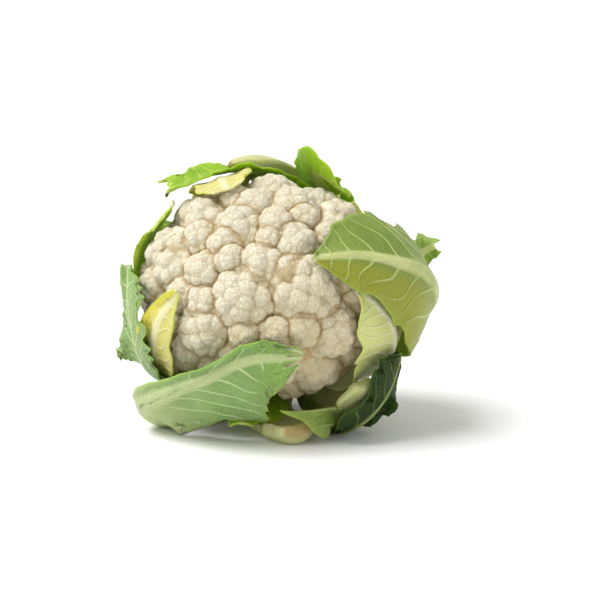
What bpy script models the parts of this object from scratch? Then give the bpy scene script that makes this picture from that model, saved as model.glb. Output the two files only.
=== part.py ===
# A cauliflower as bought: a dome of florets on a cut stalk, held in its wrapper leaves and
# lying on them with the crown towards the front. Metres, +Z up, origin under the middle of
# the whole thing at table height.

import math

import bmesh
import bpy
import numpy as np
from mathutils import Matrix, Vector
from mathutils.bvhtree import BVHTree

MM = 0.001
GAP = 0.3 * MM  # clearance between pieces that touch
GOLDEN_TURN = math.radians(137.508)

# The head lies back: its crown looks up by this much and to the left of the front.
HEAD_CENTRE = Vector((-8.3, -9.3, 90)) * MM
CROWN_RISE = math.radians(40)
CROWN_TURN = math.radians(-13)
# The dome's half sizes: side to side, up the crown's own upright, and out along its axis.
DOME = Vector((80.5, 74, 62)) * MM
# The core that the florets stand out of, with its own depth behind the middle.
CORE = Vector((64, 58, 47)) * MM
CORE_BACK = 54 * MM

# The stalk runs back from the core along the head's axis, distances from the head's centre.
STALK_TOP = 48 * MM
STALK_END = 104 * MM
STALK_TOP_RADIUS = 25 * MM
STALK_END_RADIUS = 21 * MM

# Looking at the curd from the front, from 10 degrees above the table.
SIGHT_RISE = math.radians(10)
# The large florets as seen from there: across and up from the head's centre, and radius, in mm.
SEEN_FLORETS = (
    (-13.5, -9.5, 20.5),
    (34.5, -3, 23.5),
    (0.5, 16, 14),
    (-22, 19, 10),
    (-42, 11, 13),
    (-64, 14, 15),
    (25, 31, 15),
    (30, 48.5, 10),
    (10, 45, 11.5),
    (25, 60, 16),
    (-5, 60, 13),
    (-18, 45, 15.5),
    (-43, 53, 14),
    (-45, 35, 11),
    (-27, 31, 11),
    (56, 50, 14),
    (49, 36, 12),
    (-40, -11, 11.5),
    (-42, -30, 19),
    (-11, -33, 10),
    (10, -31, 11),
    (29, -29, 12),
    (51, -31, 18),
    (41, -59, 17),
    (5, 32, 8),
    (-57, 29, 10),
    (19, 12, 9.5),
    (-16, -52, 15),
    (12, -54, 15),
    (60, 14, 15),
    (52, -56, 14),
    (63, -42, 13),
    (39, -73, 13),
    (66, -28, 12),
    (20, -70, 12),
    (-4, -70, 12),
)
# Smaller florets fill what is left of the dome, out to this far from the crown's middle.
FILL_TRIES = 110
FILL_WIDEST = math.radians(106)
FILL_SMALLEST, FILL_LARGEST = 10.5 * MM, 19 * MM
ROOM_SHARE = 0.72  # of a floret's radius that its neighbours leave clear
FLORET_RISE = 0.94  # of its radius that a floret's middle lies under the dome
FINE_FLORET = 18.5 * MM  # florets larger than this have smaller faces
# Each floret is a ball with round lobes: how many, where they sit and how large, in radii.
LOBE_COUNT = 11
LOBE_AT, LOBE_SIZE, BALL_SIZE = 0.66, 0.42, 0.86
LOBE_SPREAD = math.radians(105)
FLORET_TWIST = 1.7  # radians from one floret's lobes to the next one's

# Leaves. Each starts on the stalk at one of three depths behind the head's centre, turned
# around the crown by its own angle, and its midrib then runs through the stations given as
# degrees away from the crown, degrees around it (0 right, 90 up, 180 left) and lift in mm
# over the dome. Half widths in mm and the lift of the blade's edges over the midrib are given
# from base to tip, for the side lying further around (left) and for the other one (right). A
# cutback shortens the blade beside a broken midrib by that share, on the left and the right.
INNER_BASE, MIDDLE_BASE, OUTER_BASE = 58 * MM, 70.5 * MM, 83 * MM
BLADE_EDGE = 1.3 * MM
# The rim's teeth as a share of the half width, and its waves, with how fast they come along
# the leaf; both grow from nothing near the stalk.
TOOTH_DEPTH, TOOTH_RATE = 0.07, 31
WAVE_HEIGHT, WAVE_RATE = 1.6 * MM, 19
FLARE_POWER = 1.5  # how late across the blade its edge lifts
RIB_FALL = 1.2  # how fast the midrib thins out sideways
LEAST_WIDTH = 0.8
RIM_CROWDING = 1.3  # draws the grid's columns towards the midrib
# How far from the midrib a cutback starts, over how much it grows, and its ease to the rim.
CUTBACK_FROM, CUTBACK_OVER, CUTBACK_EASE = 0.1, 0.22, 0.3
RIB_THICKNESS = (9.0, 8.0, 6.0, 4.4, 3.2, 2.4, 1.8)
RIB_HALF_WIDTH = (12, 11, 8.5, 6, 4.5, 3.5, 3)
CURD_CLEARANCE = 0.8 * MM
LIFT_ROUNDS, LIFT_STEP = 12, 0.5 * MM
LEAVES = (
    {
        "name": "left_inner_leaf",
        "finish": "inner",
        "base": (INNER_BASE, 222),
        "path": ((138, 222, 3), (116, 222, 5), (95, 223, 5), (77, 223, 4), (60, 222, 3), (44, 223, 2)),
        "left": (8, 16, 20, 22, 19, 12, 2),
        "right": (8, 16, 20, 18, 14, 10, 2),
    },
    {
        "name": "right_inner_leaf",
        "finish": "inner",
        "base": (INNER_BASE, 326),
        "path": (
            (136, 328, 5),
            (122, 332, 8),
            (111, 337, 10),
            (103, 341, 10),
            (95, 344, 9),
            (86, 345, 7),
            (78, 345, 5),
            (71, 345, 3),
            (64, 344, 2),
        ),
        "left": (8, 14, 14, 13, 12, 12, 12, 11, 8, 2),
        "right": (8, 16, 23, 30, 33, 33, 29, 22, 13, 2),
        "edges": ((0, 0, 0, 0, 0, 0, 0, 0, 0, 0), (0, 0, -2, -5, -6, -6, -4, -2, 0, 0)),
        "grid": (16, 6),
    },
    {
        "name": "top_inner_leaf",
        "finish": "inner",
        "base": (INNER_BASE, 118),
        "path": (
            (136, 119, 4),
            (113, 120, 4),
            (95, 120, 4),
            (79, 119, 4),
            (64, 118, 3),
            (50, 117, 2.5),
            (38, 117, 2),
        ),
        "left": (8, 17, 22, 22, 20, 19, 17, 11),
        "right": (8, 17, 22, 22, 20, 19, 17, 11),
        "grid": (14, 6),
    },
    {
        "name": "hidden_inner_leaf",
        "finish": "inner",
        "base": (INNER_BASE, 62),
        "path": ((136, 61, 4), (114, 60, 4), (98, 58, 4), (88, 57, 3)),
        "left": (8, 18, 24, 22, 5),
        "right": (8, 18, 24, 22, 5),
        "grid": (12, 6),
    },
    {
        "name": "bottom_leaf",
        "finish": "green",
        "base": (INNER_BASE, 271),
        "path": ((138, 268, 2), (124, 267, 5), (113, 267, 10), (104, 267, 15)),
        "left": (8, 15, 20, 16, 7),
        "right": (8, 15, 20, 16, 7),
        "grid": (12, 6),
    },
    {
        "name": "upper_left_leaf",
        "finish": "inner",
        "base": (INNER_BASE, 170),
        "path": ((136, 170, 4), (112, 169, 3), (94, 167, 3), (80, 162, 3), (70, 154, 3), (61, 147, 4)),
        "left": (8, 17, 25, 29, 27, 17, 3),
        "right": (8, 17, 24, 25, 21, 14, 3),
    },
    {
        "name": "cut_petiole",
        "finish": "petiole",
        "base": (MIDDLE_BASE, 268),
        "path": ((150, 269, 12), (135, 271, 10), (121, 278, 12), (110, 285, 16), (99, 291, 21)),
        "left": (8, 13, 14, 14, 14, 13),
        "right": (8, 13, 14, 14, 14, 13),
        "rib": (9, 11, 12, 12, 12.5, 12.5),
        "rib_half_width": (12, 16, 18, 18, 18, 18),
        "grid": (12, 6),
    },
    {
        "name": "lower_right_leaf",
        "finish": "green",
        "base": (MIDDLE_BASE, 309),
        "path": ((140, 311, 14), (124, 311, 17), (111, 313, 17), (102, 316, 15), (95, 320, 13)),
        "left": (8, 16, 17, 15, 12, 9),
        "right": (8, 12, 13, 20, 50, 56),
        "edges": ((0, 0, 0, 0, 0, 0), (0, 0, 0, 0, -4, -8)),
        "rib": (9, 8.5, 8, 8, 8, 7.5),
        "rib_half_width": (12, 12, 12, 12, 12, 11.5),
        "cutback": (0, 0.3),
        "grid": (14, 8),
    },
    {
        "name": "left_leaf",
        "finish": "outer",
        "base": (MIDDLE_BASE, 210),
        "path": (
            (140, 212, 14),
            (120, 215, 13),
            (106, 217, 12),
            (95, 214, 10),
            (87, 206, 7),
            (79, 194, 6),
            (72, 181, 8),
        ),
        "left": (8, 15, 20, 27, 32, 36, 34, 16),
        "right": (8, 15, 20, 25, 22, 20, 14, 2),
        "edges": ((0, 0, 0, -3, -3, -2, 0, 0), (0, 0, 6, 17, 15, 8, 4, 2)),
    },
    {
        "name": "right_leaf",
        "finish": "green",
        "base": (MIDDLE_BASE, 14),
        "path": (
            (140, 12, 19),
            (121, 9, 26),
            (106, 7, 28),
            (92, 5, 26),
            (80, 4, 22),
            (68, 1, 16),
            (56, 358, 11),
            (46, 352, 7),
            (38, 345, 4),
        ),
        "left": (8, 20, 32, 42, 46, 43, 39, 31, 14, 2),
        "right": (8, 20, 31, 40, 43, 38, 29, 21, 13, 2),
        "edges": ((0, 0, 0, -8, -14, -14, -9, -5, -2, 0), (0, 0, -2, -6, -9, -9, -7, -4, -2, 0)),
        "grid": (18, 8),
    },
    {
        "name": "top_left_leaf",
        "finish": "green",
        "base": (MIDDLE_BASE, 104),
        "path": (
            (140, 99, 13),
            (118, 95, 10),
            (99, 92, 7),
            (84, 94, 5),
            (74, 102, 4),
            (68, 114, 5),
            (67, 129, 9),
            (71, 144, 15),
        ),
        "left": (8, 17, 20, 20, 18, 15, 15, 17, 13),
        "right": (8, 17, 20, 20, 18, 14, 13, 14, 11),
        "edges": ((0, 0, 0, 0, 0, 2, 9, 13, 12), (0, 0, 0, 0, -1, -3, -6, -9, -8)),
    },
    {
        "name": "top_right_leaf",
        "finish": "green",
        "base": (MIDDLE_BASE, 59),
        "path": (
            (142, 65, 15),
            (120, 68, 14),
            (101, 71, 13),
            (88, 73, 11),
            (79, 71, 10),
            (74, 64, 7),
            (74, 56, 5),
            (77, 49, 4),
        ),
        "left": (8, 17, 20, 22, 20, 16, 12, 8, 2),
        "right": (8, 17, 20, 20, 16, 13, 10, 7, 2),
        "edges": ((0, 0, 0, 2, 8, 11, 7, 2, 0), (0, 0, 0, 0, 0, 0, 0, 0, 0)),
    },
    {
        "name": "front_leaf",
        "finish": "outer",
        "base": (OUTER_BASE, 232),
        "path": (
            (146, 234, 24),
            (127, 233, 27),
            (111, 230, 30),
            (99, 230, 27),
            (90, 236, 19),
            (81, 245, 14),
            (73, 256, 11),
            (66, 268, 9),
            (63, 281, 8),
            (65, 293, 7),
            (69, 304, 6),
        ),
        "left": (8, 16, 20, 25, 29, 33, 39, 45, 44, 33, 22, 9),
        "right": (8, 15, 16, 15, 12, 11, 9, 8, 9, 11, 10, 5),
        "grid": (20, 8),
        "rib": (9, 9, 9, 9, 8.5, 7.5, 6, 4.8, 3.8, 3, 2.4, 2),
        "rib_half_width": (12, 12, 12, 12, 11, 9, 7, 5.5, 4.5, 4, 3.5, 3),
    },
    {
        "name": "torn_leaf",
        "finish": "outer",
        "base": (OUTER_BASE, 306),
        "path": (
            (148, 307, 24),
            (134, 307, 25),
            (123, 306, 28),
            (115, 309, 30),
            (109, 316, 30),
            (106, 325, 27),
            (105, 334, 22),
            (104, 342, 18),
        ),
        "left": (8, 15, 14, 11, 12, 17, 20, 17, 6),
        "right": (8, 14, 13, 13, 17, 25, 28, 22, 6),
        "teeth": 0.16,
        "edges": ((0, 0, 0, 2, 4, 6, 7, 5, 2), (0, 0, 0, 0, -4, -9, -12, -9, -2)),
        "grid": (18, 8),
    },
    {
        "name": "right_back_leaf",
        "finish": "green",
        "base": (OUTER_BASE, 36),
        "path": ((146, 35, 25), (130, 33, 28), (116, 31, 30), (107, 28, 33), (101, 26, 38)),
        "left": (8, 17, 22, 21, 14, 4),
        "right": (8, 17, 22, 21, 14, 4),
        "grid": (12, 6),
    },
    {
        "name": "back_leaf",
        "finish": "outer",
        "base": (OUTER_BASE, 146),
        "path": ((146, 146, 24), (126, 147, 22), (108, 149, 20), (96, 151, 18)),
        "left": (8, 20, 27, 25, 6),
        "right": (8, 20, 27, 25, 6),
        "grid": (12, 6),
    },
    {
        "name": "cut_top_petiole",
        "finish": "petiole",
        "base": (OUTER_BASE, 84),
        "path": ((146, 84, 22), (125, 85, 21), (106, 88, 19), (92, 92, 17), (83, 100, 15), (77, 112, 13)),
        "left": (8, 12, 11, 10, 9, 8, 7),
        "right": (8, 12, 11, 10, 9, 8, 7),
        "rib": (9, 9, 8.5, 8.5, 8, 8, 7.5),
        "rib_half_width": (12, 12, 11, 10, 9, 8, 8),
        "grid": (14, 6),
    },
)
LEAF_ROWS, LEAF_COLUMNS = 14, 6
LOWEST_INNER = 2 * MM  # height over the table that the inner faces keep
FINISHES = {
    "curd": ((0.87, 0.80, 0.64), 0.7),
    "petiole": ((0.66, 0.72, 0.44), 0.5),
    "inner": ((0.74, 0.76, 0.48), 0.5),
    "green": ((0.26, 0.46, 0.10), 0.45),
    "outer": ((0.28, 0.44, 0.24), 0.5),
}


def head_frame():
    """The head's own directions: side, upright and out along the crown's axis."""
    rise, turn = CROWN_RISE, CROWN_TURN
    axis = Vector((math.sin(turn) * math.cos(rise), -math.cos(turn) * math.cos(rise), math.sin(rise)))
    side = Vector((0, 0, 1)).cross(axis).normalized()
    return side, axis.cross(side), axis


SIDE, UPRIGHT, AXIS = head_frame()
HEAD_MATRIX = np.array([SIDE, UPRIGHT, AXIS])


def heading(away, around):
    """Unit directions in the world: away from the crown's middle and around it, in radians."""
    own = np.stack(
        [np.sin(away) * np.cos(around), np.sin(away) * np.sin(around), np.cos(away)], axis=-1
    )
    return own @ HEAD_MATRIX


def reach(directions, half_sizes):
    """How far an ellipsoid about the head's centre reaches along these directions."""
    own = directions @ HEAD_MATRIX.T
    return 1 / np.sqrt(((own / np.array(half_sizes)) ** 2).sum(-1))


def golden_cap(count, widest):
    """Unit directions spread evenly by the golden turn about +Z, out to the angle widest."""
    order = np.arange(count)
    height = 1 - (1 - math.cos(widest)) * (order + 0.5) / count
    ring = np.sqrt(1 - height**2)
    turn = order * GOLDEN_TURN
    return np.stack([ring * np.cos(turn), ring * np.sin(turn), height], axis=-1)


def seen_heading(across, up):
    """Direction from the head's centre to the point of the dome seen there from the front."""
    sight = np.array((0, -math.cos(SIGHT_RISE), math.sin(SIGHT_RISE)))
    sight_up = np.array((0, math.sin(SIGHT_RISE), math.cos(SIGHT_RISE)))
    flat = np.array((1, 0, 0)) * across + sight_up * up
    own_flat, own_sight = (HEAD_MATRIX @ flat) / DOME, (HEAD_MATRIX @ sight) / DOME
    a, b, c = own_sight @ own_sight, 2 * own_flat @ own_sight, own_flat @ own_flat - 1
    room = b * b - 4 * a * c
    depth = (-b + math.sqrt(max(room, 0))) / (2 * a)
    found = flat + sight * depth
    return found / np.linalg.norm(found)


def floret_plan():
    """Every floret as (centre, outward direction, radius), the seen ones first."""
    plan = []

    def add(direction, radius):
        middle = direction * (reach(direction, DOME) - radius * FLORET_RISE)
        plan.append((middle + np.array(HEAD_CENTRE), direction, radius))

    for across, up, radius in SEEN_FLORETS:
        add(seen_heading(across * MM, up * MM), radius * MM)
    for direction in golden_cap(FILL_TRIES, FILL_WIDEST) @ HEAD_MATRIX:
        spot = direction * (reach(direction, DOME) - FILL_SMALLEST) + np.array(HEAD_CENTRE)
        room = min(np.linalg.norm(spot - centre) - ROOM_SHARE * radius for centre, _, radius in plan)
        if room > FILL_SMALLEST * ROOM_SHARE:
            add(direction, min(room / ROOM_SHARE, FILL_LARGEST))
    return plan


def floret_reach(directions, radius, lobes):
    """The floret's surface as a union of round lobes on a ball, in its own frame."""
    lobe_at, lobe_size = radius * LOBE_AT, radius * LOBE_SIZE
    cosine = directions @ lobes.T
    hidden = lobe_size**2 - lobe_at**2 * (1 - cosine**2)
    surface = lobe_at * cosine + np.sqrt(np.clip(hidden, 0, None))
    surface[(hidden < 0) | (cosine < 0)] = 0
    return np.maximum(surface.max(1), radius * BALL_SIZE)


def new_object(name, bm, material):
    mesh = bpy.data.meshes.new(name)
    bm.to_mesh(mesh)
    bm.free()
    obj = bpy.data.objects.new(name, mesh)
    bpy.context.scene.collection.objects.link(obj)
    mesh.materials.append(material)
    return obj


def move_vertices(bm, points):
    for vertex, point in zip(bm.verts, points):
        vertex.co = point


def make_material(name, colour, roughness):
    material = bpy.data.materials.new(name)
    material.use_nodes = True
    shader = material.node_tree.nodes["Principled BSDF"]
    shader.inputs["Base Color"].default_value = (*colour, 1)
    shader.inputs["Roughness"].default_value = roughness
    shader.inputs["Metallic"].default_value = 0
    return material


def make_floret(index, centre, direction, radius, material):
    bm = bmesh.new()
    bmesh.ops.create_icosphere(bm, subdivisions=3 if radius > FINE_FLORET else 2, radius=1)
    own = np.array([vertex.co for vertex in bm.verts])
    lobes = golden_cap(LOBE_COUNT, LOBE_SPREAD)
    surface = own * floret_reach(own, radius, lobes)[:, None]
    twist = Matrix.Rotation(index * FLORET_TWIST, 3, "Z")
    turn = Vector(direction).to_track_quat("Z", "Y").to_matrix() @ twist
    move_vertices(bm, surface @ np.array(turn).T + centre)
    return new_object(f"floret_{index}", bm, material)


def make_core(material):
    """The branches under the florets as one rounded body, cut flat where the stalk begins."""
    bm = bmesh.new()
    bmesh.ops.create_icosphere(bm, subdivisions=3, radius=1)
    points = []
    for vertex in bm.verts:
        own = Vector(vertex.co)
        depth = CORE.z if own.z > 0 else CORE_BACK
        scaled = Vector((own.x * CORE.x, own.y * CORE.y, own.z * depth))
        points.append(HEAD_CENTRE + SIDE * scaled.x + UPRIGHT * scaled.y + AXIS * scaled.z)
    move_vertices(bm, points)
    cut = bmesh.ops.bisect_plane(
        bm,
        geom=bm.verts[:] + bm.edges[:] + bm.faces[:],
        plane_co=HEAD_CENTRE - AXIS * STALK_TOP,
        plane_no=-AXIS,
        clear_outer=True,
    )
    rim = [part for part in cut["geom_cut"] if isinstance(part, bmesh.types.BMEdge)]
    bmesh.ops.contextual_create(bm, geom=rim)
    bmesh.ops.triangulate(bm, faces=bm.faces[:])
    bmesh.ops.recalc_face_normals(bm, faces=bm.faces[:])
    return new_object("curd", bm, material)


def keep_outer_shell(obj):
    """Fills the closed hollows between florets: only the outermost shell of the mesh stays."""
    bm = bmesh.new()
    bm.from_mesh(obj.data)
    left, shells = set(bm.verts), []
    while left:
        shell, edge = set(), [left.pop()]
        while edge:
            vertex = edge.pop()
            shell.add(vertex)
            linked = {link.other_vert(vertex) for link in vertex.link_edges} & left
            left -= linked
            edge += linked
        shells.append(shell)
    outer = max(shells, key=len)
    inside = [vertex for shell in shells if shell is not outer for vertex in shell]
    bmesh.ops.delete(bm, geom=inside, context="VERTS")
    bm.to_mesh(obj.data)
    bm.free()


def make_curd(material):
    core = make_core(material)
    florets = bpy.data.collections.new("florets")
    for index, (centre, direction, radius) in enumerate(floret_plan()):
        floret = make_floret(index, centre, direction, radius, material)
        bpy.context.scene.collection.objects.unlink(floret)
        florets.objects.link(floret)
    bpy.context.scene.collection.children.link(florets)
    union = core.modifiers.new("florets", "BOOLEAN")
    union.operation = "UNION"
    union.operand_type = "COLLECTION"
    union.collection = florets
    union.solver = "EXACT"
    union.use_self = True
    graph = bpy.context.evaluated_depsgraph_get()
    joined = bpy.data.meshes.new_from_object(core.evaluated_get(graph))
    core.modifiers.remove(union)
    core.data = joined
    for floret in list(florets.objects):
        bpy.data.objects.remove(floret)
    bpy.data.collections.remove(florets)
    keep_outer_shell(core)
    return core


def through(values, where):
    """Smooth curve through evenly spaced values, read at where in 0..1."""
    values = np.atleast_2d(np.array(values, dtype=float).T).T
    spot = np.clip(where, 0, 1) * (len(values) - 1)
    low = np.minimum(spot.astype(int), len(values) - 2)
    part = (spot - low)[:, None]
    before, after = np.maximum(low - 1, 0), np.minimum(low + 2, len(values) - 1)
    start, end = values[low], values[low + 1]
    slope_in = (end - values[before]) / np.where(low > 0, 2, 1)[:, None]
    slope_out = (values[after] - start) / np.where(low < len(values) - 2, 2, 1)[:, None]
    squared, cubed = part**2, part**3
    return (
        start * (2 * cubed - 3 * squared + 1)
        + slope_in * (cubed - 2 * squared + part)
        + end * (3 * squared - 2 * cubed)
        + slope_out * (cubed - squared)
    )


def stalk_radius(depth):
    part = np.clip((depth - STALK_TOP) / (STALK_END - STALK_TOP), 0, 1)
    return STALK_TOP_RADIUS + (STALK_END_RADIUS - STALK_TOP_RADIUS) * part


def midrib(leaf, where):
    """Points of the midrib's inner face, from the stalk outwards."""
    depth, around = leaf["base"]
    ring = float(stalk_radius(depth)) - 0.5 * MM
    turn = math.radians(around)
    start = np.array((math.cos(turn) * ring, math.sin(turn) * ring, -depth)) @ HEAD_MATRIX
    points = [start]
    for away, turned, lift in leaf["path"]:
        out = heading(np.radians(away), np.radians(turned))
        points.append(out * (reach(out, DOME) + lift * MM))
    return through(np.array(points), where)


def unit(vectors):
    return vectors / np.linalg.norm(vectors, axis=-1, keepdims=True)


def along_side(pair, side, along):
    """Reads the curve of the leaf's left or right side."""
    return np.where(side == 0, through(pair[0], along)[:, 0], through(pair[1], along)[:, 0])


def leaf_points(leaf, along, across):
    """Inner face of a leaf about the head's centre; along in 0..1, across in -1..1."""
    side = np.where(across > 0, 0, 1)
    beside = np.clip((np.abs(across) - CUTBACK_FROM) / CUTBACK_OVER, 0, 1)
    cutback = np.array(leaf.get("cutback", (0, 0)))[side] * beside
    along = along * (1 - cutback * (1 - CUTBACK_EASE * np.abs(across)))
    rib = midrib(leaf, along)
    course = unit(midrib(leaf, along + 0.01) - midrib(leaf, along - 0.01))
    radius = np.linalg.norm(rib, axis=-1)
    out = rib / radius[:, None]
    sideways = unit(np.cross(course, out))
    widths = np.maximum(along_side((leaf["left"], leaf["right"]), side, along), LEAST_WIDTH)
    tooth = leaf.get("teeth", TOOTH_DEPTH) * np.sin(along * TOOTH_RATE + side * 2)
    distance = across * widths * (1 + tooth * np.clip(along * 4 - 1, 0, 1)) * MM
    edge = along_side(leaf.get("edges", ((0, 0), (0, 0))), side, along) * MM
    wave = WAVE_HEIGHT * np.sin(along * WAVE_RATE + side * 1.3) * np.clip(along * 3 - 1, 0, 1)
    flare = edge * np.abs(across) ** FLARE_POWER + wave * across**2
    turned = distance / radius
    direction = out * np.cos(turned)[:, None] + sideways * np.sin(turned)[:, None]
    over = radius - reach(out, DOME)
    return direction * (reach(direction, DOME) + over + flare)[:, None]


def leaf_thickness(leaf, along, across):
    side = np.where(across > 0, 0, 1)
    off = np.abs(across) * along_side((leaf["left"], leaf["right"]), side, along)
    rib = through(leaf.get("rib", RIB_THICKNESS), along)[:, 0] * MM
    half = through(leaf.get("rib_half_width", RIB_HALF_WIDTH), along)[:, 0]
    return BLADE_EDGE + np.maximum(rib - BLADE_EDGE, 0) * np.exp(-((off / half) ** 2) * RIB_FALL)


def clear_stalk(points):
    """Moves points about the head's centre out of the stalk, straight away from its axis."""
    own = points @ HEAD_MATRIX.T
    depth, ring = -own[:, 2], np.hypot(own[:, 0], own[:, 1])
    room = stalk_radius(depth) + GAP
    stretch = np.where((ring < room) & (depth > STALK_TOP - 5 * MM), room / np.maximum(ring, 1e-6), 1)
    own[:, :2] *= stretch[:, None]
    return own @ HEAD_MATRIX


def push_clear(points, tree, clearance):
    """How far each point has to move outwards to stand clear of what lies under it."""
    needed = np.zeros(len(points))
    radius = np.linalg.norm(points, axis=-1)
    for index, (point, own) in enumerate(zip(points, radius)):
        out = Vector(point / own)
        hit = tree.ray_cast(HEAD_CENTRE + out * (own + 0.05), -out)[0]
        if hit is not None:
            needed[index] = (hit - HEAD_CENTRE).length + clearance - own
    return np.clip(needed, 0, None)


def neighbour_mean(field):
    """Mean of each grid value and the eight round it."""
    wide = np.pad(field, ((1, 1), (1, 1)) + ((0, 0),) * (field.ndim - 2), mode="edge")
    rows, columns = field.shape[:2]
    return sum(wide[i : i + rows, j : j + columns] for i in range(3) for j in range(3)) / 9


def spread_push(leaf, along, across, shape, tree):
    """Push of every grid point, taken from the samples round it and then smoothed."""
    step = (0.5 / (shape[0] - 1), 1 / (shape[1] - 1))
    push = np.zeros(shape)
    for back in (-1, 0, 1):
        for over in (-1, 0, 1):
            near = np.clip(along + back * step[0], 0, 1), np.clip(across + over * step[1], -1, 1)
            needed = push_clear(leaf_points(leaf, *near), tree, CURD_CLEARANCE)
            push = np.maximum(push, needed.reshape(shape))
    for _ in range(2):
        push = np.maximum(push, neighbour_mean(push))
    return push.ravel()


def leaf_grid(leaf):
    """A flat grid of the leaf's faces, with where each vertex lies on the leaf."""
    rows, columns = leaf.get("grid", (LEAF_ROWS, LEAF_COLUMNS))
    bm = bmesh.new()
    bmesh.ops.create_grid(bm, x_segments=rows, y_segments=columns, size=1)
    place = bm.verts.layers.int.new("place")
    for index, vertex in enumerate(bm.verts):
        vertex[place] = index
    flat = np.array([vertex.co for vertex in bm.verts])
    order = np.lexsort((flat[:, 1].round(6), flat[:, 0].round(6)))
    along = (flat[:, 0] + 1) / 2
    across = np.sign(flat[:, 1]) * np.abs(flat[:, 1]) ** RIM_CROWDING
    return bm, along, across, order, (rows + 1, columns + 1)


def smooth_normals(bm, order, shape):
    bm.normal_update()
    normals = np.array([vertex.normal for vertex in bm.verts])
    outwards = np.array([vertex.co - HEAD_CENTRE for vertex in bm.verts])
    if (outwards * normals).sum() < 0:
        normals = -normals
    gridded = normals[order].reshape(*shape, 3)
    for _ in range(2):
        gridded = unit(neighbour_mean(gridded))
    normals[order] = gridded.reshape(-1, 3)
    return normals


def leaf_solid(leaf, push):
    """The leaf as a closed solid, its inner face moved outwards by push."""
    bm, along, across, order, shape = leaf_grid(leaf)
    inner = leaf_points(leaf, along, across)
    inner = clear_stalk(inner + unit(inner) * push[:, None]) + np.array(HEAD_CENTRE)
    inner[:, 2] = np.maximum(inner[:, 2], LOWEST_INNER)
    move_vertices(bm, inner)
    bmesh.ops.triangulate(bm, faces=bm.faces[:])
    normals = smooth_normals(bm, order, shape)
    outer = inner + normals * leaf_thickness(leaf, along, across)[:, None]
    outer = clear_stalk(outer - np.array(HEAD_CENTRE)) + np.array(HEAD_CENTRE)
    outer[:, 2] = np.maximum(outer[:, 2], 0)
    place = bm.verts.layers.int["place"]
    lifted = bmesh.ops.extrude_face_region(bm, geom=bm.faces[:])
    for part in lifted["geom"]:
        if isinstance(part, bmesh.types.BMVert):
            part.co = outer[part[place]]
    bmesh.ops.recalc_face_normals(bm, faces=bm.faces[:])
    return bm


def touched_places(bm, tree):
    """Grid places of the leaf's faces that meet the pieces under it."""
    place = bm.verts.layers.int["place"]
    bm.faces.ensure_lookup_table()
    own = BVHTree.FromBMesh(bm, epsilon=GAP)
    return {vertex[place] for face, _ in own.overlap(tree) for vertex in bm.faces[face].verts}


def make_leaf(leaf, obstacles, material):
    bm, along, across, order, shape = leaf_grid(leaf)
    bm.free()
    push = np.zeros(len(along))
    push[order] = spread_push(leaf, along[order], across[order], shape, obstacles)
    for _ in range(LIFT_ROUNDS):
        bm = leaf_solid(leaf, push)
        touched = touched_places(bm, obstacles)
        if not touched:
            break
        more = np.zeros(len(push))
        more[list(touched)] = LIFT_STEP
        more[order] = neighbour_mean(more[order].reshape(shape)).ravel() + more[order]
        push += more
        bm.free()
    else:
        bm = leaf_solid(leaf, push)
    return new_object(leaf["name"], bm, material)


def make_stalk(material):
    bm = bmesh.new()
    bmesh.ops.create_cone(
        bm,
        cap_ends=True,
        segments=32,
        radius1=STALK_END_RADIUS,
        radius2=STALK_TOP_RADIUS,
        depth=STALK_END - STALK_TOP - GAP,
    )
    middle = (STALK_END + STALK_TOP + GAP) / 2
    points = [
        HEAD_CENTRE + SIDE * v.co.x + UPRIGHT * v.co.y + AXIS * (v.co.z - middle) for v in bm.verts
    ]
    move_vertices(bm, points)
    bmesh.ops.recalc_face_normals(bm, faces=bm.faces[:])
    return new_object("stalk", bm, material)


def obstacle_tree(objects):
    vertices, faces = [], []
    for obj in objects:
        base = len(vertices)
        vertices += [vertex.co.copy() for vertex in obj.data.vertices]
        faces += [[base + index for index in polygon.vertices] for polygon in obj.data.polygons]
    return BVHTree.FromPolygons(vertices, faces, epsilon=GAP)


def main():
    for obj in list(bpy.data.objects):
        bpy.data.objects.remove(obj)
    materials = {name: make_material(name, *finish) for name, finish in FINISHES.items()}
    placed = [make_curd(materials["curd"]), make_stalk(materials["petiole"])]
    for leaf in LEAVES:
        placed.append(make_leaf(leaf, obstacle_tree(placed), materials[leaf["finish"]]))
    counts = {obj.name: sum(len(face.vertices) - 2 for face in obj.data.polygons) for obj in placed}
    print("triangles", counts, sum(counts.values()))


main()
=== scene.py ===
import math

import bmesh
import bpy
import numpy as np
from mathutils import Matrix, Vector
from mathutils.bvhtree import BVHTree


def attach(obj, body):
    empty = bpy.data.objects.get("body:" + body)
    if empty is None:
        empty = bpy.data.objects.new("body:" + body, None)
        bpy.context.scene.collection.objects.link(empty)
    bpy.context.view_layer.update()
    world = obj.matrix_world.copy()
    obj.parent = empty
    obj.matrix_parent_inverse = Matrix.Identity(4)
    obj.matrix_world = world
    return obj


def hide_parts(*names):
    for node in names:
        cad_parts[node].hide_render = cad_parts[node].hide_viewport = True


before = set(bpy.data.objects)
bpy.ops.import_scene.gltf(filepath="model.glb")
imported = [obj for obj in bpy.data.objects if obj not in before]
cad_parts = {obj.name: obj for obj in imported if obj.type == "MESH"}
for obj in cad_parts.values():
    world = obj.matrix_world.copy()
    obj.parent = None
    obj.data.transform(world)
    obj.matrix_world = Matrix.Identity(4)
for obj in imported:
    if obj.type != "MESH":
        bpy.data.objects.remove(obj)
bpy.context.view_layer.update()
print("frame loaded:", len(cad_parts), "nodes")

mm = 0.001
goldenTurn = math.radians(137.508)

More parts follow.
